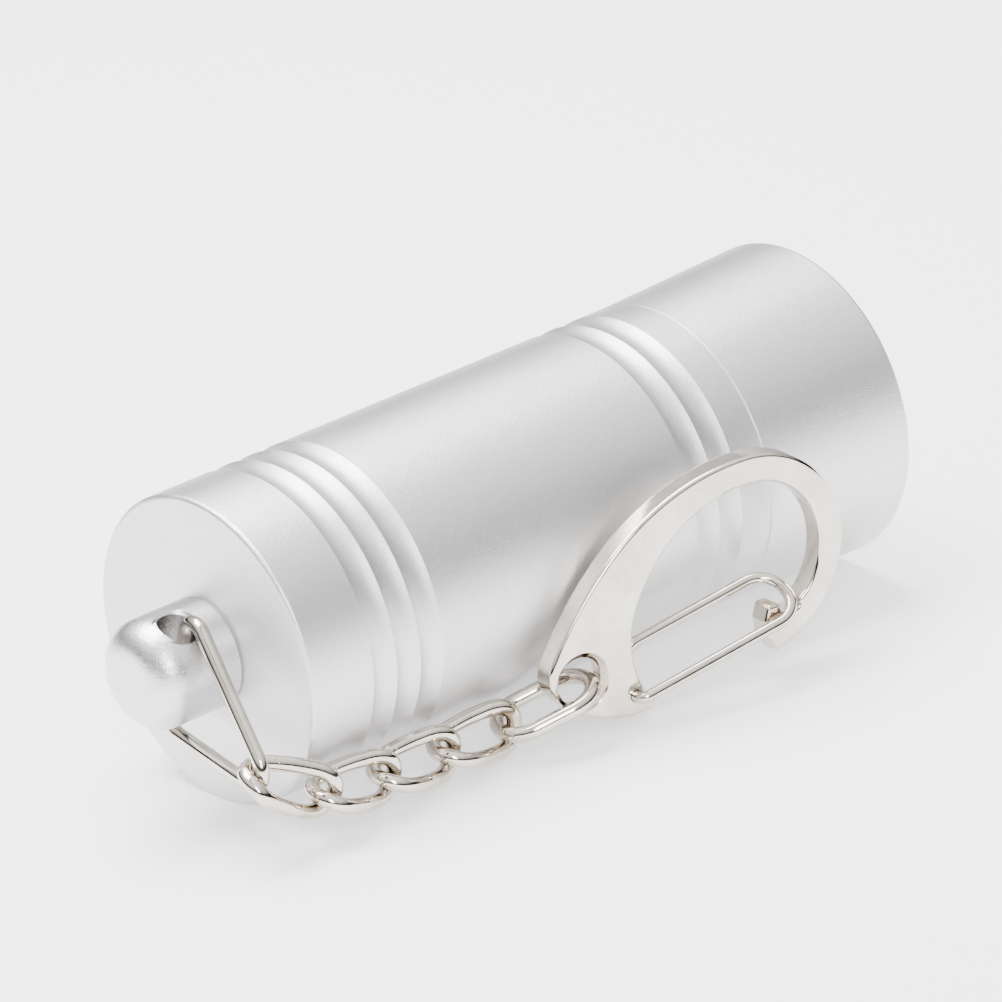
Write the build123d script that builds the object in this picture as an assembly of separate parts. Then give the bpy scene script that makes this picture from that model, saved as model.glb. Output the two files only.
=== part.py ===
from build123d import *
import math
import os

# Small pocket flashlight on a key chain, lying on its side.
# Millimetres. Origin: centre of the front rim, on the light's own axis.
# +X is the way the beam goes, +Z is up, and the chain and hook lie on the -Y side.

# ---- driving sizes -------------------------------------------------------
body_d = 34.0            # plain barrel
body_len = 64.0          # tail face to the seam under the head
head_len = 19.8          # seam to the front rim
head_flare = 0.7         # the head flares this much towards its front, on the radius
tail_wall = 6.0          # closed end of the barrel
rim_round = 0.5          # broken edges of barrel and head

groove_pitch = 3.2       # width of one scallop
groove_depth = 0.45
groove_crest = 0.04      # sharp land left beside each scallop
tail_grooves = 3
tail_groove_start = 8.2  # from the tail face
front_grooves = 2
front_groove_start = 53.4

neck_len = 6.5           # threaded neck ahead of the seam
neck_step = 2.1          # barrel's side down to the neck
neck_wall = 1.5          # neck to the battery bore
thread_pitch = 1.0
thread_clear = 0.6       # head's bore over the neck, room for the thread's crest
oring_d = 1.3            # section of the neck's seal
oring_seat = 1.5         # width of its groove
oring_sink = 0.8         # depth of its groove
oring_gap = 0.9          # land between seam and groove

lip_len = 1.3            # turned-in lip that holds the lens
lip_width = 1.0
lens_t = 1.2
lens_seal_t = 1.0
lens_seal_w = 0.8
seat_clear = 0.1         # radial play of what sits in the head's bore
holder_flange_t = 1.4
holder_clear = 0.8       # holder's barrel in the battery bore, on the radius
holder_barrel_len = 6.0
holder_wall = 1.6
neck_gap = 0.1           # holder's flange to the neck's end
board_d = 16.0
board_t = 1.2
gasket_t = 0.4
emitter_w = 3.5
emitter_t = 0.7
dome_r = 1.4
reflector_wall = 0.9
reflector_inset = 0.7    # reflector's mouth inside the lip's bore
reflector_throat_d = 6.4

driver_t = 1.2
driver_clear = 0.05
contact_pad_d = 6.0
contact_pad_t = 1.4
contact_gap = 0.05       # pack's button to the holder's pad

cell_d = 10.5            # size AAA
cell_len = 43.3
cell_nub_d = 3.8
cell_nub_len = 1.2
cell_ring_r = 6.9        # cells' axes from the light's axis
cell_count = 3
cell_clear = 0.25
carrier_clear = 0.4      # carrier in the battery bore, on the radius
carrier_disc_t = 2.4
carrier_spine_d = 2.6
cell_spring_d = 6.0
plate_t = 0.3
button_d = 6.0
button_t = 1.4

tail_spring_len = 5.4
tail_spring_d = 11.0
tail_spring_wire = 0.9
tail_spring_turns = 3.5

knob_d = 12.0
knob_len = 10.3
knob_round = 3.3
knob_hole_d = 4.6
knob_hole_at = 5.0       # from the tail face
knob_hole_lean = 24.5    # the cross hole leans from upright towards the chain
stud_d = 5.0
stud_len = 4.6

loop_wire = 1.6
loop_half = 8.2          # half the loop's base, along the cross hole
loop_overhang = 0.9      # the loop's tip reaches this far past the barrel's side
loop_round = 2.0
loop_slip = 0.6          # the loop hangs this far down its hole
loop_at = 3.65           # base wire from the tail face
loop_swing = 10.0        # stored swing away from the tail face

chain_wire = 1.7
chain_pitch = 8.7
chain_half_width = 2.3   # middle of wire to the link's long axis
chain_twist = 45.0       # each end of a link is turned this far from its middle
chain_slack = 0.3
chain_heading = [(-11, -27), (3, -8), (4, -4), (2, -2)]   # yaw and pitch of each link
chain_set_r = 17.0       # the headings suit this barrel radius and turn out for a bigger one
chain_roll = [65, 57, 54, 51]                             # link's face turned towards -Y
end_pitch = 8.8          # plain link into the hook's eye
end_half_width = 3.3
end_heading = (-24, 17)
end_roll = 6

hook_yaw = -8.0
hook_t = 2.8
hook_arm = 3.1           # width of the bar, seen from the side
hook_ring_r = 11.5       # outside of the round end
hook_ring_at = (22.5, 7.2)   # its centre from the eye's centre
hook_round = 0.45
eye_r = 2.65
eye_rim = 1.3
eye_shift = (-0.35, 0.66, -0.55)  # eye's centre from the end link's bearing point
gate_wire = 1.3
gate_half_gap = 2.6      # leg to the hook's middle plane
gate_rise = 3.4          # the far leg runs this much higher than the near one
gate_pivot = (6.4, -3.5)
gate_tip = (26.9, 1.8)
gate_pin_clear = 0.06
gate_pin_depth = 1.0
gate_seat_clear = 0.2    # gate's tip beside the nose
nose_drop = 1.8          # gate's tip to the saddle it closes over

# ---- diameters that follow -------------------------------------------------
head_front_d = body_d + 2 * head_flare
neck_d = body_d - 2 * neck_step
bore_d = neck_d - 2 * neck_wall
head_bore_d = neck_d + thread_clear
lip_bore_d = head_bore_d - 2 * lip_width
holder_barrel_d = bore_d - 2 * holder_clear
reflector_mouth_d = lip_bore_d - 2 * reflector_inset
carrier_d = bore_d - 2 * carrier_clear
loop_reach = body_d / 2 + loop_overhang
chain_run = len(chain_heading) * chain_pitch
splay = math.degrees(math.asin((body_d / 2 - chain_set_r) / chain_run))
headings = [(yaw - splay, pitch) for yaw, pitch in chain_heading]

# ---- places along the light ----------------------------------------------
tail_x = -(body_len + head_len)
seam_x = -head_len
neck_end_x = seam_x + neck_len
lens_back_x = -(lip_len + lens_seal_t + lens_t)
flange_back_x = neck_end_x + neck_gap
board_back_x = flange_back_x + holder_flange_t
board_front_x = board_back_x + board_t
throat_x = board_front_x + gasket_t
barrel_back_x = flange_back_x - holder_barrel_len
pad_back_x = barrel_back_x - contact_pad_t + driver_t
button_front_x = pad_back_x - contact_gap
carrier_front_x = button_front_x - button_t
spring_front_x = tail_x + tail_wall + tail_spring_len
carrier_back_x = spring_front_x + plate_t
cell_bay_back_x = carrier_back_x + carrier_disc_t
cell_bay_front_x = carrier_front_x - carrier_disc_t
cell_spring_len = cell_bay_front_x - cell_bay_back_x - cell_len - cell_nub_len - plate_t


def rod(x0, x1, d, hole=0.0, y=0.0, z=0.0):
    """Round bar along X, bored through when hole is given."""
    length = x1 - x0
    bar = Cylinder(d / 2, length, rotation=(0, 90, 0))
    if hole:
        bar = bar - Cylinder(hole / 2, length + 1, rotation=(0, 90, 0))
    return Pos((x0 + x1) / 2, y, z) * bar


def turned(outline):
    """Solid of revolution about X from (x, radius) corners."""
    face = Plane.XZ * make_face(Polyline(*outline, close=True))
    return revolve(face, axis=Axis.X)


def ring(x, mean_d, wire):
    """Round-section ring about X."""
    return Pos(x, 0, 0) * Torus(mean_d / 2, wire / 2, rotation=(0, 90, 0))


def aimed(origin, yaw, pitch, roll):
    """Frame whose X points along a heading and whose Z is turned by roll towards -Y."""
    turn, dip, lean = math.radians(yaw), math.radians(pitch), math.radians(roll)
    along = Vector(math.cos(dip) * math.cos(turn), math.cos(dip) * math.sin(turn), math.sin(dip))
    across = Vector(math.sin(turn), -math.cos(turn), 0)
    upright = across.cross(along)
    face = upright * math.cos(lean) + across * math.sin(lean)
    return Plane(origin=origin, x_dir=along, z_dir=face)


# ---- barrel ----------------------------------------------------------------
def scallop_cutter(x, barrel_d):
    half = groove_pitch / 2 - groove_crest
    r = (half ** 2 + groove_depth ** 2) / (2 * groove_depth)
    return ring(x, barrel_d + 2 * (r - groove_depth), 2 * r)


def body_tube():
    barrel = rod(tail_x, seam_x, body_d)
    barrel = fillet(barrel.edges().group_by(Axis.X)[0], rim_round)
    barrel = chamfer(barrel.edges().group_by(Axis.X)[-1], 0.15)
    barrel += rod(seam_x, neck_end_x, neck_d)
    barrel -= rod(tail_x + tail_wall, neck_end_x + 1, bore_d)
    barrel -= rod(tail_x - 1, tail_x + stud_len + 0.2, stud_d)
    seat_x = seam_x + oring_gap
    barrel -= rod(seat_x, seat_x + oring_seat, neck_d + 2, neck_d - 2 * oring_sink)
    for count, start in ((tail_grooves, tail_groove_start), (front_grooves, front_groove_start)):
        for i in range(count):
            barrel -= scallop_cutter(tail_x + start + (i + 0.5) * groove_pitch, body_d)
    return barrel


def body_o_ring():
    mean_d = neck_d - 2 * oring_sink + oring_d
    return ring(seam_x + oring_gap + oring_seat / 2, mean_d + 0.02, oring_d)


# ---- tail knob --------------------------------------------------------------
def tail_knob():
    knob = rod(tail_x - knob_len, tail_x, knob_d)
    knob = fillet(knob.edges().group_by(Axis.X)[0], knob_round)
    knob = chamfer(knob.edges().group_by(Axis.X)[-1], 0.25)
    knob += rod(tail_x, tail_x + stud_len, stud_d)
    hole_x = tail_x - knob_hole_at
    cross = Pos(hole_x, 0, 0) * Rot(knob_hole_lean, 0, 0)
    knob -= cross * Cylinder(knob_hole_d / 2, knob_d + 2)
    for side in (1, -1):
        mouth = Cone(knob_hole_d / 2, knob_hole_d / 2 + 0.5, 0.5)
        turn = Rot(0, 0, 0) if side > 0 else Rot(180, 0, 0)
        knob -= cross * turn * Pos(0, 0, knob_d / 2 - 0.45) * mouth
    return knob


def tail_spring():
    height = tail_spring_len - tail_spring_wire
    pitch = height / tail_spring_turns
    path = Helix(pitch, height, (tail_spring_d - tail_spring_wire) / 2)
    section = Plane(origin=path @ 0, z_dir=path % 0) * Circle(tail_spring_wire / 2)
    coil = sweep(section, path=path)
    return Pos(tail_x + tail_wall + tail_spring_wire / 2, 0, 0) * Rot(0, 90, 0) * coil


# ---- battery carrier ----------------------------------------------------------
def cell_spots():
    for i in range(cell_count):
        angle = math.radians(90 + 360 * i / cell_count)
        yield cell_ring_r * math.cos(angle), cell_ring_r * math.sin(angle)


def carrier_frame():
    frame = rod(carrier_back_x, cell_bay_back_x, carrier_d)
    frame += rod(cell_bay_front_x, carrier_front_x, carrier_d)
    fin = carrier_d / 2 - 0.4
    for i in range(cell_count):
        angle = 90 + 360 * (i + 0.5) / cell_count
        web = Box(cell_bay_front_x - cell_bay_back_x, fin, carrier_spine_d)
        place = Rot(-angle, 0, 0) * Pos((cell_bay_back_x + cell_bay_front_x) / 2, 0, 0)
        frame += Rot(angle, 0, 0) * Pos((cell_bay_back_x + cell_bay_front_x) / 2, fin / 2, 0) * web
    for y, z in cell_spots():
        frame -= rod(cell_bay_back_x, cell_bay_front_x, cell_d + 2 * cell_clear, y=y, z=z)
    return frame


def battery_cell(y, z):
    back = cell_bay_back_x + cell_spring_len
    can = fillet(rod(back, back + cell_len, cell_d, y=y, z=z).edges(), 0.5)
    return can + rod(back + cell_len, back + cell_len + cell_nub_len, cell_nub_d, y=y, z=z)


def cell_springs():
    """Leaf cup behind each cell: a base disc and a tapered spring stack."""
    group = []
    for y, z in cell_spots():
        x0 = cell_bay_back_x
        base = rod(x0, x0 + plate_t, cell_d - 1.5, y=y, z=z)
        cone_len = cell_spring_len - plate_t
        cone = Cone(cell_spring_d / 2, cell_spring_d / 3, cone_len, rotation=(0, 90, 0))
        group.append(base + Pos(x0 + plate_t + cone_len / 2, y, z) * cone)
    return Compound(group)


def carrier_front_plates():
    """Contact plate in front of each cell's nub."""
    nub_end = cell_bay_back_x + cell_spring_len + cell_len + cell_nub_len
    plates = [rod(nub_end, cell_bay_front_x, cell_d - 2.5, y=y, z=z) for y, z in cell_spots()]
    return Compound(plates)


def carrier_front_button():
    return fillet(rod(carrier_front_x, button_front_x, button_d).edges().group_by(Axis.X)[-1], 0.3)


def carrier_rear_plate():
    return rod(spring_front_x, carrier_back_x, carrier_d - 3.0, 3.0)


# ---- head -----------------------------------------------------------------------
def head_shell():
    flare = Cone(body_d / 2, head_front_d / 2, head_len, rotation=(0, 90, 0))
    shell = Pos(seam_x / 2, 0, 0) * flare
    shell = fillet(shell.edges().group_by(Axis.X)[-1], rim_round)
    shell = chamfer(shell.edges().group_by(Axis.X)[0], 0.15)
    thread_bore = neck_d + 2 * thread_clear
    shell -= rod(seam_x - 1, flange_back_x, thread_bore)
    shell -= rod(flange_back_x - 0.5, -lip_len, head_bore_d)
    shell -= rod(-lip_len - 0.5, 1, lip_bore_d)
    return shell


def lens():
    d = head_bore_d - 2 * seat_clear
    return chamfer(rod(lens_back_x, lens_back_x + lens_t, d).edges(), 0.2)


def lens_o_ring():
    d = head_bore_d - 2 * seat_clear
    return rod(-lip_len - lens_seal_t, -lip_len, d, d - 2 * lens_seal_w)


def reflector():
    """Dish of four straight-sided steps that follow a parabola, with a flange under the lens."""
    depth = lens_back_x - throat_x
    mouth, throat = reflector_mouth_d / 2, reflector_throat_d / 2
    steps = 8
    inner = []
    for i in range(steps + 1):
        t = i / steps
        r = math.sqrt(throat ** 2 + (mouth ** 2 - throat ** 2) * t)
        inner.append((throat_x + depth * t, r))
    outer = [(x, r + reflector_wall) for x, r in inner if x < lens_back_x - 1.2]
    flange_r = head_bore_d / 2 - seat_clear
    rim = [(lens_back_x, flange_r), (lens_back_x - 1.0, flange_r), (lens_back_x - 1.0, mouth)]
    return turned(inner + rim + outer[::-1])


def led_holder():
    flange = rod(flange_back_x, board_back_x, head_bore_d - 2 * seat_clear)
    barrel = rod(barrel_back_x, flange_back_x, holder_barrel_d)
    cup = flange + barrel
    cup -= rod(barrel_back_x - 1, flange_back_x - 0.2, holder_barrel_d - 2 * holder_wall)
    for side in (1, -1):
        cup -= rod(flange_back_x - 1, board_back_x + 1, 1.6, y=side * 5.0)
    return cup


def led_board():
    board = rod(board_back_x, board_front_x, board_d)
    for i in range(6):
        turn = math.radians(60 * i)
        y, z = board_d / 2 * math.cos(turn), board_d / 2 * math.sin(turn)
        board -= rod(board_back_x - 1, board_front_x + 1, 3.0, y=y, z=z)
    return board


def led_emitter():
    x = board_front_x
    chip = Pos(x + emitter_t / 2, 0, 0) * Box(emitter_t, emitter_w, emitter_w)
    dome = Pos(x + emitter_t, 0, 0) * Sphere(dome_r) & rod(x + emitter_t, x + emitter_t + dome_r, 8)
    return chip + dome


def led_gasket():
    gasket = rod(board_front_x, board_front_x + gasket_t, 9.0)
    hole = emitter_w + 0.1
    return gasket - Pos(board_front_x, 0, 0) * Box(2 * gasket_t + 1, hole, hole)


def driver_board():
    d = holder_barrel_d - 2 * holder_wall - 2 * driver_clear
    return rod(barrel_back_x, barrel_back_x + driver_t, d)


def driver_parts():
    x = barrel_back_x + driver_t
    coil = rod(x, x + 2.6, 5.0, y=0, z=5.5)
    chip = Pos(x + 0.7, -1.0, -5.0) * Box(1.4, 4.0, 5.0)
    cap = Pos(x + 0.5, 4.8, -4.0) * Box(1.0, 1.6, 3.0)
    return Compound([coil, chip, cap])


def led_wires():
    x = barrel_back_x + driver_t
    return Compound([rod(x, board_back_x, 1.0, y=side * 5.0) for side in (1, -1)])


def driver_pad():
    return rod(pad_back_x, barrel_back_x, contact_pad_d)


# ---- loop, chain and hook ------------------------------------------------------
def loop_frame():
    """Frame of the triangular loop: X towards its tip, Y along the knob's cross hole."""
    lean, swing = math.radians(knob_hole_lean), math.radians(loop_swing)
    hole_axis = Vector(0, -math.sin(lean), math.cos(lean))
    outward = Vector(0, -math.cos(lean), -math.sin(lean))
    tip = outward * math.cos(swing) + Vector(-1, 0, 0) * math.sin(swing)
    hung = Vector(tail_x - loop_at, 0, 0) - hole_axis * loop_slip
    return Plane(origin=hung, x_dir=tip, z_dir=tip.cross(hole_axis))


def loop_tip_overhang():
    """How far the sharp corner of the loop's tip lies past its rounded one."""
    sharp = loop_reach
    for _ in range(20):
        half_angle = math.atan2(loop_half, sharp)
        sharp = loop_reach + loop_round * (1 / math.sin(half_angle) - 1)
    return sharp


def key_loop():
    corners = [(0, loop_half), (loop_tip_overhang(), 0), (0, -loop_half)]
    triangle = make_face(Polyline(*corners, close=True))
    path = loop_frame() * fillet(triangle.vertices(), loop_round).face().outer_wire()
    section = Plane(origin=path @ 0, z_dir=path % 0) * Circle(loop_wire / 2)
    return sweep(section, path=path)


def chain_joints():
    """Points where the wires cross, from the loop's tip to the hook's eye."""
    frame = loop_frame()
    first = aimed((0, 0, 0), *headings[0], 0).x_dir
    spot = frame.origin + frame.x_dir * loop_reach - first * (loop_wire / 2)
    spots = [spot]
    for heading, pitch in zip(headings + [end_heading], [chain_pitch] * len(headings) + [end_pitch]):
        spot = spot + aimed((0, 0, 0), *heading, 0).x_dir * pitch
        spots.append(spot)
    return spots


def chain_link(i, spots):
    """One curb link: an oval ring twisted evenly along its length, so the chain lies flat."""
    end = chain_half_width
    half_len = (chain_pitch + chain_wire + chain_slack) / 2
    straight = half_len - end
    slant = math.radians(chain_twist) / half_len
    flat = [(0, end), (-straight / 2, end), (-straight, end)]
    for a in (30, 60, 90, 120, 150):
        turn = math.radians(a)
        flat.append((-straight - end * math.sin(turn), end * math.cos(turn)))
    flat += [(-straight, -end), (-straight / 2, -end), (0, -end)]
    points = [(x, y * math.cos(slant * x), y * math.sin(slant * x)) for x, y in flat]
    leave, arrive = (-1, 0, -end * slant), (1, 0, -end * slant)
    path = Spline(*points, tangents=[leave, arrive])
    section = Plane(origin=path @ 0, z_dir=path % 0) * Circle(chain_wire / 2)
    half = sweep(section, path=path)
    middle = (spots[i] + spots[i + 1]) * 0.5
    return aimed(middle, *headings[i], chain_roll[i]) * (half + Rot(0, 0, 180) * half)


def end_link(spots):
    """Plain oval link between the chain and the hook's eye."""
    outer = end_pitch + chain_wire + chain_slack
    path = SlotOverall(outer, 2 * end_half_width).face().outer_wire()
    middle = (spots[-2] + spots[-1]) * 0.5
    path = aimed(middle, *end_heading, end_roll) * path
    section = Plane(origin=path @ 0, z_dir=path % 0) * Circle(chain_wire / 2)
    return sweep(section, path=path)


def hook_frame(spots):
    """Frame of the hook: X along it, Y up, origin at the middle of its eye."""
    turn = math.radians(hook_yaw)
    along = Vector(math.cos(turn), math.sin(turn), 0)
    side = along.cross(Vector(0, 0, 1))
    origin = spots[-1] + along * eye_shift[0] + Vector(0, 0, eye_shift[1]) + side * eye_shift[2]
    return Plane(origin=origin, x_dir=along, z_dir=side)


def hook_outline():
    """Teardrop plate with a round end, a wide eye end and a blunt nose."""
    cx, cy = hook_ring_at
    tx, ty = gate_tip
    outer, inner = hook_ring_r, hook_ring_r - hook_arm
    left = -(eye_r + eye_rim)
    seat = gate_wire / 2 + gate_seat_clear
    top = (cx, cy + outer)
    chin = (cx + 1.8, cy - math.sqrt(outer ** 2 - 1.8 ** 2))
    crown = (cx + 0.8, cy + math.sqrt(inner ** 2 - 0.8 ** 2))
    knee = (cx + inner * math.cos(0.72), cy - inner * math.sin(0.72))
    edge = ThreePointArc(chin, (cx + 0.7 * outer, cy - 0.68 * outer), (cx + outer, cy))
    edge += ThreePointArc((cx + outer, cy), (cx + 0.72 * outer, cy + 0.69 * outer), top)
    edge += ThreePointArc(top, (12.9, 17.1), (5.0, 12.6))
    edge += ThreePointArc((5.0, 12.6), (0.2, 7.9), (left + 0.7, 3.2))
    edge += ThreePointArc((left + 0.7, 3.2), (left, 0.9), (left + 0.8, -1.3))
    edge += ThreePointArc((left + 0.8, -1.3), (2.6, -5.0), (6.7, -5.7))
    edge += Polyline((6.7, -5.7), (8.8, -5.6), (8.6, -4.6))
    edge += ThreePointArc((8.6, -4.6), (6.6, 2.3), (9.0, 8.4))
    edge += ThreePointArc((9.0, 8.4), (14.1, 13.3), crown)
    edge += ThreePointArc(crown, (cx + inner * math.cos(0.5), cy + inner * math.sin(0.5)), knee)
    edge += Polyline(
        knee,
        (tx + seat, ty - 1.0),
        (tx + seat, ty - nose_drop),
        (tx - seat - 0.6, ty - nose_drop),
        (tx - seat - 0.85, ty - 0.6),
        (tx - seat - 2.3, ty - 0.6),
        (tx - 3.7, ty - 2.2),
        (tx - 3.5, ty - 4.2),
        chin,
    )
    return make_face(edge)


def snap_hook(spots):
    plate = extrude(hook_outline(), hook_t / 2, both=True)
    plate = fillet(plate.edges().filter_by(Axis.Z), hook_round + 0.05)
    plate = fillet(plate.faces().filter_by(Axis.Z).edges(), hook_round)
    plate -= Cylinder(eye_r, hook_t + 2)
    pin_r = gate_wire / 2 + gate_pin_clear
    depth = gate_pin_depth + 0.1
    for side in (1, -1):
        mouth = Cone(eye_r, eye_r + 0.7, 0.7)
        turn = Rot(0, 0, 0) if side > 0 else Rot(180, 0, 0)
        plate -= turn * Pos(0, 0, hook_t / 2 - 0.34) * mouth
        pocket = Cylinder(pin_r, depth + 1)
        plate -= Pos(*gate_pivot, side * (hook_t / 2 - depth + (depth + 1) / 2)) * pocket
    return hook_frame(spots) * plate


def hook_gate(spots):
    """Wire bow: two legs astride the hook, closed by a round end above the nose."""
    px, py = gate_pivot
    tx, ty = gate_tip
    inside = hook_t / 2 - gate_pin_depth
    near, far = gate_half_gap, -gate_half_gap
    slope = 0.17
    bow = math.hypot(gate_half_gap, gate_rise / 2)
    back = tx - bow
    mid = ty - bow * slope
    low, high = mid - gate_rise / 2, mid + gate_rise / 2
    turn_x = px + 2.4
    path = FilletPolyline(
        (px, py, inside),
        (px, py, near),
        (tx, low + slope * bow, near),
        (tx, high + slope * bow, far),
        (turn_x, high - slope * (back - turn_x), far),
        (px, py, far),
        (px, py, -inside),
        radius=[0.9, bow * 0.97, bow * 0.97, 1.2, 0.8],
    )
    path = hook_frame(spots) * path
    section = Plane(origin=path @ 0, z_dir=path % 0) * Circle(gate_wire / 2)
    return sweep(section, path=path)


def build():
    spots = chain_joints()
    parts = {
        "body_tube": body_tube(),
        "body_o_ring": body_o_ring(),
        "tail_knob": tail_knob(),
        "tail_spring": tail_spring(),
        "carrier_frame": carrier_frame(),
        "carrier_rear_plate": carrier_rear_plate(),
        "carrier_front_plates": carrier_front_plates(),
        "carrier_front_button": carrier_front_button(),
        "cell_springs": cell_springs(),
        "head_shell": head_shell(),
        "lens": lens(),
        "lens_o_ring": lens_o_ring(),
        "reflector": reflector(),
        "led_emitter": led_emitter(),
        "led_board": led_board(),
        "led_gasket": led_gasket(),
        "led_holder": led_holder(),
        "led_wires": led_wires(),
        "driver_board": driver_board(),
        "driver_parts": driver_parts(),
        "driver_pad": driver_pad(),
        "key_loop": key_loop(),
        "snap_hook": snap_hook(spots),
        "hook_gate": hook_gate(spots),
    }
    for i, (y, z) in enumerate(cell_spots()):
        parts[f"battery_cell_{i + 1}"] = battery_cell(y, z)
    for i in range(len(chain_heading)):
        parts[f"chain_link_{i + 1}"] = chain_link(i, spots)
    parts[f"chain_link_{len(chain_heading) + 1}"] = end_link(spots)
    return parts


os.makedirs("parts", exist_ok=True)
for name, shape in build().items():
    export_step(shape, f"parts/{name}.step")
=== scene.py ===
import bpy
import bmesh
import math
from mathutils import Matrix, Vector


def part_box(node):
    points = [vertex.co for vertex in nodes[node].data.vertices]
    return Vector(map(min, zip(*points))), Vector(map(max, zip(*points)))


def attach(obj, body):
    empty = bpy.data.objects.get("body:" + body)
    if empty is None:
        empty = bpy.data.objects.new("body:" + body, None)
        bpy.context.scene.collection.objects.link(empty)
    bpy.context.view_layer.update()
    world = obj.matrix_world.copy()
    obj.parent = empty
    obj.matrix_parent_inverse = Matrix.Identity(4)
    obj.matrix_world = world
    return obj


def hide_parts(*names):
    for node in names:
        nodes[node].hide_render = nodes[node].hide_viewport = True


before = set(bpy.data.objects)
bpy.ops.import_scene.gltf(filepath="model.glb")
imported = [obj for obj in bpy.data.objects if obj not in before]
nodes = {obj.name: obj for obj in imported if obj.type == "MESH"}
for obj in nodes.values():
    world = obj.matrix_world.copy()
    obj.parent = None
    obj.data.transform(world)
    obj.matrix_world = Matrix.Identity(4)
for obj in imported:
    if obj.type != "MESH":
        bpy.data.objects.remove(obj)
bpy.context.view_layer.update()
scene = bpy.context.scene
print("frame loaded")


def newMaterial(name, color, metallic=0.0, roughness=0.5):
    mat = bpy.data.materials.new(name)
    mat.use_nodes = True
    tree = mat.node_tree
    shader = tree.nodes["Principled BSDF"]
    shader.inputs["Base Color"].default_value = (*color, 1)
    shader.inputs["Metallic"].default_value = metallic
    shader.inputs["Roughness"].default_value = roughness
    return mat, tree, shader


def objectCoords(tree, scale=(1, 1, 1)):
    coords = tree.nodes.new("ShaderNodeTexCoord")
    mapping = tree.nodes.new("ShaderNodeMapping")
    mapping.inputs["Scale"].default_value = scale
    tree.links.new(coords.outputs["Object"], mapping.inputs["Vector"])
    return mapping.outputs["Vector"]


def noise(tree, vector, scale, detail=2.0, roughness=0.5):
    tex = tree.nodes.new("ShaderNodeTexNoise")
    tex.inputs["Scale"].default_value = scale
    tex.inputs["Detail"].default_value = detail
    tex.inputs["Roughness"].default_value = roughness
    tree.links.new(vector, tex.inputs["Vector"])
    return tex.outputs["Fac"]


def remap(tree, value, low, high, fromLow=0.3, fromHigh=0.7):
    node = tree.nodes.new("ShaderNodeMapRange")
    node.inputs["From Min"].default_value = fromLow
    node.inputs["From Max"].default_value = fromHigh
    node.inputs["To Min"].default_value = low
    node.inputs["To Max"].default_value = high
    tree.links.new(value, node.inputs["Value"])
    return node.outputs["Result"]


def bump(tree, height, strength, distance, normal=None):
    node = tree.nodes.new("ShaderNodeBump")
    node.inputs["Strength"].default_value = strength
    node.inputs["Distance"].default_value = distance
    tree.links.new(height, node.inputs["Height"])
    if normal is not None:
        tree.links.new(normal, node.inputs["Normal"])
    return node.outputs["Normal"]


def tint(tree, factor, dark, light):
    ramp = tree.nodes.new("ShaderNodeMix")
    ramp.data_type = "RGBA"
    ramp.inputs["A"].default_value = (*dark, 1)
    ramp.inputs["B"].default_value = (*light, 1)
    tree.links.new(factor, ramp.inputs["Factor"])
    return ramp.outputs["Result"]


def paint(mat, *names):
    for name in names:
        mesh = nodes[name].data
        mesh.materials.clear()
        mesh.materials.append(mat)


def addPiece(name, bm, mat, body, smooth=True):
    bmesh.ops.recalc_face_normals(bm, faces=bm.faces)
    mesh = bpy.data.meshes.new(name)
    bm.to_mesh(mesh)
    bm.free()
    mesh.materials.append(mat)
    if smooth:
        mesh.shade_smooth()
    piece = bpy.data.objects.new(name, mesh)
    scene.collection.objects.link(piece)
    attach(piece, body)
    return piece


blastLook = {
    "color": (0.76, 0.76, 0.77), "shade": (0.60, 0.60, 0.615), "rough": (0.30, 0.44),
    "grain": 6000, "dust": 11000, "cloud": 90, "dent": 0.8, "depth": 0.00006,
    "swell": 0.05, "swellDepth": 0.0002,
}


# bead-blasted, clear-anodised: tiny dents under a soft sheen
def blastedMetal(name, look):
    mat, tree, shader = newMaterial(name, look["color"], 1.0, 0.4)
    vector = objectCoords(tree)
    grain = noise(tree, vector, look["grain"], 3.0, 0.65)
    dust = noise(tree, vector, look["dust"], 1.0)
    cloud = noise(tree, vector, look["cloud"], 2.0)
    color = tint(tree, remap(tree, dust, 0.0, 1.0), look["shade"], look["color"])
    tree.links.new(color, shader.inputs["Base Color"])
    tree.links.new(remap(tree, grain, *look["rough"]), shader.inputs["Roughness"])
    dents = bump(tree, grain, look["dent"], look["depth"])
    dents = bump(tree, cloud, look["swell"], look["swellDepth"], dents)
    tree.links.new(dents, shader.inputs["Normal"])
    return mat


nickelLook = {
    "color": (0.70, 0.65, 0.58), "shade": (0.54, 0.48, 0.41), "rough": (0.05, 0.17),
    "wave": 700, "ripple": 0.12, "depth": 0.00003, "cloud": 260, "pit": 3000, "pitDepth": 0.00006,
}


# bright nickel over wire or a casting, with faint ripples and duller patches
def nickelPlate(name, look, pits=0.0):
    mat, tree, shader = newMaterial(name, look["color"], 1.0, 0.1)
    vector = objectCoords(tree)
    wave = noise(tree, vector, look["wave"], 2.0)
    cloud = noise(tree, vector, look["cloud"], 4.0, 0.6)
    speck = noise(tree, vector, look["pit"], 2.0)
    color = tint(tree, remap(tree, cloud, 0.0, 1.0), look["shade"], look["color"])
    tree.links.new(color, shader.inputs["Base Color"])
    tree.links.new(remap(tree, cloud, *look["rough"]), shader.inputs["Roughness"])
    ripple = bump(tree, wave, look["ripple"], look["depth"])
    if pits:
        ripple = bump(tree, speck, pits, look["pitDepth"], ripple)
    tree.links.new(ripple, shader.inputs["Normal"])
    return mat


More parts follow.
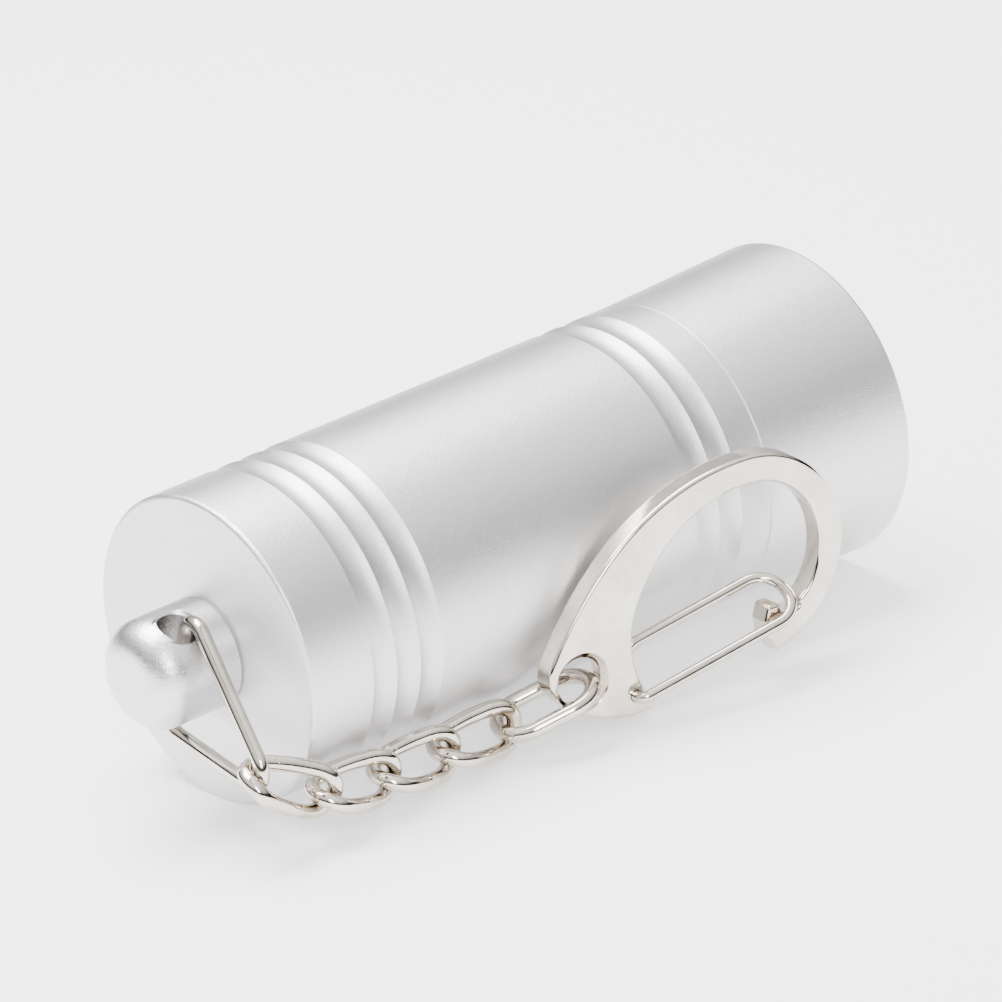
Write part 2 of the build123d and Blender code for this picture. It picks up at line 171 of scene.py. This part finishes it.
barrelMetal = blastedMetal("barrelMetal", blastLook)
knobMetal = blastedMetal("knobMetal", dict(blastLook, grain=3600, rough=(0.26, 0.38)))
wireNickel = nickelPlate("wireNickel", nickelLook)
castNickel = nickelPlate("castNickel", dict(nickelLook, wave=420), pits=0.12)
paint(barrelMetal, "body_tube", "head_shell")
paint(knobMetal, "tail_knob")
paint(wireNickel, "key_loop", "hook_gate", *[f"chain_link_{i}" for i in range(1, 6)])
paint(castNickel, "snap_hook")


def rubberMaterial(name, color):
    mat, tree, shader = newMaterial(name, color, 0.0, 0.6)
    vector = objectCoords(tree)
    fine = noise(tree, vector, 2500, 2.0)
    tree.links.new(remap(tree, fine, 0.45, 0.7), shader.inputs["Roughness"])
    tree.links.new(bump(tree, fine, 0.2, 0.00004), shader.inputs["Normal"])
    return mat


def plasticMaterial(name, color, rough=(0.4, 0.6), grain=1800):
    mat, tree, shader = newMaterial(name, color, 0.0, 0.5)
    vector = objectCoords(tree)
    fine = noise(tree, vector, grain, 3.0)
    shade = tuple(c * 0.85 for c in color)
    tree.links.new(tint(tree, remap(tree, fine, 0.0, 1.0), shade, color), shader.inputs["Base Color"])
    tree.links.new(remap(tree, fine, *rough), shader.inputs["Roughness"])
    tree.links.new(bump(tree, fine, 0.15, 0.00003), shader.inputs["Normal"])
    return mat


# lathe-turned metal: fine rings about the light's axis
def turnedMetal(name, color, rough=(0.2, 0.35)):
    mat, tree, shader = newMaterial(name, color, 1.0, 0.3)
    vector = objectCoords(tree, (6000, 60, 60))
    rings = noise(tree, vector, 1.0, 2.0)
    shade = tuple(c * 0.8 for c in color)
    tree.links.new(tint(tree, remap(tree, rings, 0.0, 1.0), shade, color), shader.inputs["Base Color"])
    tree.links.new(remap(tree, rings, *rough), shader.inputs["Roughness"])
    tree.links.new(bump(tree, rings, 0.15, 0.00003), shader.inputs["Normal"])
    return mat


innerColors = {
    "seal": (0.02, 0.02, 0.022), "wire": (0.55, 0.04, 0.03), "carrier": (0.03, 0.03, 0.034),
    "driverBoard": (0.03, 0.20, 0.09), "ledBoard": (0.86, 0.86, 0.83), "gasket": (0.82, 0.82, 0.78),
    "chip": (0.025, 0.025, 0.027), "spring": (0.62, 0.60, 0.57), "contact": (0.72, 0.70, 0.66),
    "brass": (0.78, 0.58, 0.26), "pill": (0.70, 0.71, 0.73),
}
sealRubber = rubberMaterial("sealRubber", innerColors["seal"])
wireRubber = rubberMaterial("wireRubber", innerColors["wire"])
carrierPlastic = plasticMaterial("carrierPlastic", innerColors["carrier"])
boardGreen = plasticMaterial("boardGreen", innerColors["driverBoard"], (0.25, 0.4), 900)
boardWhite = plasticMaterial("boardWhite", innerColors["ledBoard"], (0.3, 0.45), 900)
gasketWhite = plasticMaterial("gasketWhite", innerColors["gasket"], (0.4, 0.6), 900)
partBlack = plasticMaterial("partBlack", innerColors["chip"], (0.35, 0.5))
springSteel = turnedMetal("springSteel", innerColors["spring"])
contactMetal = turnedMetal("contactMetal", innerColors["contact"])
contactBrass = turnedMetal("contactBrass", innerColors["brass"])
pillMetal = turnedMetal("pillMetal", innerColors["pill"])
paint(sealRubber, "body_o_ring", "lens_o_ring")
paint(wireRubber, "led_wires")
paint(carrierPlastic, "carrier_frame")
paint(springSteel, "tail_spring", "cell_springs")
paint(contactMetal, "carrier_rear_plate", "carrier_front_plates")
paint(contactBrass, "carrier_front_button", "driver_pad")
paint(pillMetal, "led_holder")
paint(boardGreen, "driver_board")
paint(partBlack, "driver_parts")
paint(boardWhite, "led_board")
paint(gasketWhite, "led_gasket")


def glassMaterial():
    mat, tree, shader = newMaterial("lensGlass", (0.97, 0.985, 0.98), 0.0, 0.02)
    vector = objectCoords(tree)
    smear = noise(tree, vector, 120, 3.0)
    shader.inputs["Transmission Weight"].default_value = 1.0
    shader.inputs["IOR"].default_value = 1.49
    shader.inputs["Coat Weight"].default_value = 0.4
    tree.links.new(remap(tree, smear, 0.0, 0.04), shader.inputs["Roughness"])
    return mat


def dishMaterial():
    mat, tree, shader = newMaterial("dishMirror", (0.90, 0.90, 0.90), 1.0, 0.08)
    vector = objectCoords(tree)
    cells = tree.nodes.new("ShaderNodeTexVoronoi")
    cells.inputs["Scale"].default_value = 900
    tree.links.new(vector, cells.inputs["Vector"])
    tree.links.new(bump(tree, cells.outputs["Distance"], 0.10, 0.0001), shader.inputs["Normal"])
    smear = noise(tree, vector, 200, 2.0)
    tree.links.new(remap(tree, smear, 0.04, 0.14), shader.inputs["Roughness"])
    return mat


def emitterMaterial():
    mat, tree, shader = newMaterial("emitterPhosphor", (0.90, 0.74, 0.12), 0.0, 0.25)
    vector = objectCoords(tree)
    fine = noise(tree, vector, 2600, 2.0)
    color = tint(tree, remap(tree, fine, 0.0, 1.0), (0.82, 0.62, 0.08), (0.95, 0.80, 0.20))
    tree.links.new(color, shader.inputs["Base Color"])
    shader.inputs["Coat Weight"].default_value = 1.0
    return mat


sleeveLook = {"body": (0.05, 0.09, 0.22), "band": (0.62, 0.50, 0.24), "bandStart": 0.78}


# two plain colours, split across the cell near its positive end
def sleeveMaterial(look):
    mat, tree, shader = newMaterial("cellSleeve", look["body"], 0.0, 0.25)
    low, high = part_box("battery_cell_1")
    coords = tree.nodes.new("ShaderNodeTexCoord")
    split = tree.nodes.new("ShaderNodeSeparateXYZ")
    tree.links.new(coords.outputs["Object"], split.inputs["Vector"])
    edge = low.x + (high.x - low.x) * look["bandStart"]
    gate = remap(tree, split.outputs["X"], 0.0, 1.0, edge, edge + 0.0001)
    color = tint(tree, gate, look["body"], look["band"])
    tree.links.new(color, shader.inputs["Base Color"])
    fine = noise(tree, coords.outputs["Object"], 800, 2.0)
    tree.links.new(remap(tree, fine, 0.2, 0.32), shader.inputs["Roughness"])
    shader.inputs["Metallic"].default_value = 0.3
    shader.inputs["Coat Weight"].default_value = 0.6
    return mat


paint(glassMaterial(), "lens")
paint(dishMaterial(), "reflector")
paint(emitterMaterial(), "led_emitter")
cellSleeve = sleeveMaterial(sleeveLook)
paint(cellSleeve, "battery_cell_1", "battery_cell_2", "battery_cell_3")
print("materials done")


threadLook = {
    "pitch": 0.001, "centre": 0.01497, "ridge": 0.00045, "start": -0.0171, "turns": 3, "steps": 64,
}


# helical ridge: a small triangle spun about the axis while it moves along
def makeThread(look):
    bm = bmesh.new()
    bmesh.ops.create_circle(bm, segments=3, radius=look["ridge"], cap_ends=True)
    for vert in bm.verts:
        along, out = vert.co.x, vert.co.y
        vert.co = (along, 0, out)
    bmesh.ops.translate(bm, verts=bm.verts, vec=(look["start"], 0, look["centre"]))
    steps = look["steps"] * look["turns"]
    bmesh.ops.spin(
        bm, geom=bm.verts[:] + bm.edges[:] + bm.faces[:], cent=(0, 0, 0), axis=(1, 0, 0),
        dvec=(look["pitch"] / look["steps"], 0, 0), angle=math.tau * look["turns"],
        steps=steps, use_merge=False,
    )
    return addPiece("neckThread", bm, barrelMetal, "barrel")


makeThread(threadLook)
print("thread done")


cellLook = {
    "wire": 0.00035, "coil": 0.0026, "turns": 3, "steps": 36, "coilStart": 0.0006, "coilRoom": 0.0011,
    "disc": 0.0045, "discThick": 0.0003, "cap": 0.0042, "capThick": 0.00016, "capTaper": 0.97,
    "frontSink": 0.00115, "rearSink": 0.00005,
}
quarterTurn = Matrix.Rotation(math.pi / 2, 4, "Y")


def addDisc(bm, spot, radius, thick, taper=1.0, segments=48):
    bmesh.ops.create_cone(
        bm, cap_ends=True, segments=segments, radius1=radius, radius2=radius * taper, depth=thick,
        matrix=Matrix.Translation(spot) @ quarterTurn,
    )


# one small coil on a disc behind each cell, in place of the plain cones
def makeCellSprings(look):
    bm = bmesh.new()
    low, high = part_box("cell_springs")
    steps = look["turns"] * look["steps"]
    rise = (high.x - low.x - look["coilRoom"]) / steps
    for i in range(1, 4):
        cellLow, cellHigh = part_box(f"battery_cell_{i}")
        y = (cellLow.y + cellHigh.y) / 2
        z = (cellLow.z + cellHigh.z) / 2
        ring = bmesh.ops.create_circle(bm, segments=10, radius=look["wire"], cap_ends=True)["verts"]
        bmesh.ops.rotate(bm, verts=ring, cent=(0, 0, 0), matrix=Matrix.Rotation(math.pi / 2, 3, "X"))
        bmesh.ops.translate(bm, verts=ring, vec=(low.x + look["coilStart"], y, z + look["coil"]))
        faces = {f for v in ring for f in v.link_faces}
        edges = {e for v in ring for e in v.link_edges}
        bmesh.ops.spin(
            bm, geom=ring + list(edges) + list(faces), cent=(low.x, y, z), axis=(1, 0, 0),
            dvec=(rise, 0, 0), angle=math.tau * look["turns"], steps=steps, use_merge=False,
        )
        addDisc(bm, (low.x + look["discThick"] / 2, y, z), look["disc"], look["discThick"])
    coils = addPiece("cellSpringCoils", bm, springSteel, "pack")
    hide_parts("cell_springs")
    return coils


# thin bright discs near both ends of every cell
def makeCellCaps(look):
    bm = bmesh.new()
    for i in range(1, 4):
        low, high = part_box(f"battery_cell_{i}")
        y = (low.y + high.y) / 2
        z = (low.z + high.z) / 2
        for x in (high.x - look["frontSink"], low.x + look["rearSink"]):
            addDisc(bm, (x, y, z), look["cap"], look["capThick"], look["capTaper"], 64)
    return addPiece("cellCaps", bm, contactMetal, "pack")


makeCellSprings(cellLook)
makeCellCaps(cellLook)
print("battery parts done")


driverLook = {
    "inductorZ": 0.0055, "inductor": 0.0024, "base": (0.0003, 0.0004), "drum": (0.0014, 0.0022, 0.0015),
    "blocks": (
        ((0.0007, -0.001, -0.005), (0.0013, 0.0038, 0.0049)),
        ((0.0005, 0.0048, -0.004), (0.001, 0.0016, 0.003)),
    ),
    "edge": 0.00012, "legSize": (0.0002, 0.0007, 0.0004), "legPitch": 0.0011, "legOut": 0.0022, "legs": 4,
}


def addBlock(bm, spot, dims):
    cube = bmesh.ops.create_cube(bm, size=1.0)["verts"]
    bmesh.ops.scale(bm, vec=dims, verts=cube)
    bmesh.ops.translate(bm, vec=spot, verts=cube)
    return cube


# inductor, a chip and a capacitor; the chip's two rows of legs come from makeChipLegs
def makeDriverParts(look):
    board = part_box("driver_board")[1].x
    bm = bmesh.new()
    out, thick = look["base"]
    addDisc(bm, (board + out, 0, look["inductorZ"]), look["inductor"], thick)
    out, thick, waist = look["drum"]
    bmesh.ops.create_cone(
        bm, cap_ends=True, segments=48, radius1=waist, radius2=look["inductor"], depth=thick,
        matrix=Matrix.Translation((board + out, 0, look["inductorZ"])) @ quarterTurn,
    )
    for spot, dims in look["blocks"]:
        cube = addBlock(bm, (board + spot[0], spot[1], spot[2]), dims)
        edges = list({e for v in cube for e in v.link_edges})
        bmesh.ops.bevel(
            bm, geom=edges, offset=look["edge"], segments=2, profile=0.5, affect="EDGES", material=-1,
        )
    chips = addPiece("driverChips", bm, partBlack, "head", smooth=False)
    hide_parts("driver_parts")
    return chips


# eight bright legs, four along each side of the chip
def makeChipLegs(look):
    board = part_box("driver_board")[1].x
    chip = look["blocks"][0][0]
    legs = bmesh.new()
    for row in (-1, 1):
        for k in range(look["legs"]):
            along = chip[2] + (k - (look["legs"] - 1) / 2) * look["legPitch"]
            spot = (board + look["legSize"][0] / 2, chip[1] + row * look["legOut"], along)
            addBlock(legs, spot, look["legSize"])
    return addPiece("chipLegs", legs, contactMetal, "head", smooth=False)


makeDriverParts(driverLook)
makeChipLegs(driverLook)
print("electronics done")


floorLook = {
    "size": 6.0, "tail": (-0.0838, -0.0170), "front": (0.0, -0.0177),
    "color": (0.90, 0.90, 0.905), "glow": 0.85,
}


def makeFloor(look):
    (x0, z0), (x1, z1) = look["tail"], look["front"]
    slope = math.atan2(z1 - z0, x1 - x0)
    bm = bmesh.new()
    bmesh.ops.create_grid(bm, x_segments=1, y_segments=1, size=look["size"])
    bmesh.ops.rotate(bm, verts=bm.verts, cent=(0, 0, 0), matrix=Matrix.Rotation(-slope, 3, "Y"))
    bmesh.ops.translate(bm, verts=bm.verts, vec=(x1, 0, z1 - 0.00001))
    mesh = bpy.data.meshes.new("floor")
    bm.to_mesh(mesh)
    bm.free()
    floor = bpy.data.objects.new("floor", mesh)
    scene.collection.objects.link(floor)
    mat, tree, shader = newMaterial("floorPaper", look["color"], 0.0, 0.75)
    vector = objectCoords(tree)
    fibre = noise(tree, vector, 900, 3.0)
    tree.links.new(bump(tree, fibre, 0.02, 0.0001), shader.inputs["Normal"])
    shader.inputs["Emission Color"].default_value = (1, 1, 1, 1)
    shader.inputs["Emission Strength"].default_value = look["glow"]
    mesh.materials.append(mat)
    return floor


makeFloor(floorLook)
print("floor done")


def areaLight(name, spot, target, size, power, color=(1, 1, 1)):
    data = bpy.data.lights.new(name, "AREA")
    data.shape = "RECTANGLE"
    data.size = size[0]
    data.size_y = size[1]
    data.energy = power
    data.color = color
    lamp = bpy.data.objects.new(name, data)
    lamp.location = spot
    aim = Vector(target) - Vector(spot)
    lamp.rotation_euler = aim.to_track_quat("-Z", "Y").to_euler()
    scene.collection.objects.link(lamp)
    return lamp


skyLook = {
    "power": 1.0,
    "bands": ((0.0, 0.03), (0.50, 0.02), (0.61, 0.03), (0.67, 0.7), (0.82, 1.7), (1.0, 2.6)),
}


# dark round the horizon, bright overhead
def makeSky(look):
    world = bpy.data.worlds.new("studio")
    world.use_nodes = True
    tree = world.node_tree
    backdrop = tree.nodes["Background"]
    backdrop.inputs["Strength"].default_value = look["power"]
    coords = tree.nodes.new("ShaderNodeTexCoord")
    split = tree.nodes.new("ShaderNodeSeparateXYZ")
    tree.links.new(coords.outputs["Generated"], split.inputs["Vector"])
    height = remap(tree, split.outputs["Z"], 0.0, 1.0, -1.0, 1.0)
    ramp = tree.nodes.new("ShaderNodeValToRGB")
    stops = ramp.color_ramp.elements
    while len(stops) < len(look["bands"]):
        stops.new(0.5)
    for stop, (at, level) in zip(stops, look["bands"]):
        stop.position = at
        stop.color = (level, level, level * 1.01, 1)
    tree.links.new(height, ramp.inputs["Fac"])
    tree.links.new(ramp.outputs["Color"], backdrop.inputs["Color"])
    scene.world = world


makeSky(skyLook)

middle = (-0.045, -0.008, 0)
areaLight("topSoftbox", (-0.06, 0.16, 0.50), middle, (0.5, 0.3), 9.0)
areaLight("leftSoftbox", (-0.30, -0.45, 0.30), middle, (0.16, 0.30), 2.6)


# dark card out of shot, which gives bright metal its dark streaks
def darkCard(name, spot, target, size):
    bm = bmesh.new()
    bmesh.ops.create_grid(bm, x_segments=1, y_segments=1, size=0.5)
    bmesh.ops.scale(bm, vec=(size[0], size[1], 1), verts=bm.verts)
    mesh = bpy.data.meshes.new(name)
    bm.to_mesh(mesh)
    bm.free()
    card = bpy.data.objects.new(name, mesh)
    card.location = spot
    card.rotation_euler = (Vector(target) - Vector(spot)).to_track_quat("-Z", "Y").to_euler()
    scene.collection.objects.link(card)
    mat, tree, shader = newMaterial(name + "Felt", (0.02, 0.017, 0.015), 0.0, 0.9)
    fibre = noise(tree, objectCoords(tree), 300, 2.0)
    tree.links.new(bump(tree, fibre, 0.1, 0.0005), shader.inputs["Normal"])
    mesh.materials.append(mat)
    return card


darkCard("cardFront", (0.10, -0.60, 0.12), middle, (0.5, 0.10))
darkCard("cardTop", (-0.30, -0.12, 0.70), middle, (0.10, 0.5))

cameraLook = {
    "spot": (-0.61922, -0.71006, 0.38431),
    "right": (0.74817, -0.65705, -0.09234),
    "up": (0.31922, 0.23444, 0.91822),
    "lens": 336.8,
}


def makeCamera(look):
    data = bpy.data.cameras.new("camera")
    data.lens = look["lens"]
    data.sensor_width = 36
    data.clip_start = 0.05
    data.clip_end = 20
    cam = bpy.data.objects.new("camera", data)
    right, up = Vector(look["right"]).normalized(), Vector(look["up"])
    back = right.cross(up).normalized()
    up = back.cross(right)
    turn = Matrix((right, up, back)).transposed().to_4x4()
    cam.matrix_world = Matrix.Translation(look["spot"]) @ turn
    scene.collection.objects.link(cam)
    scene.camera = cam
    return cam


makeCamera(cameraLook)

print("scene done")
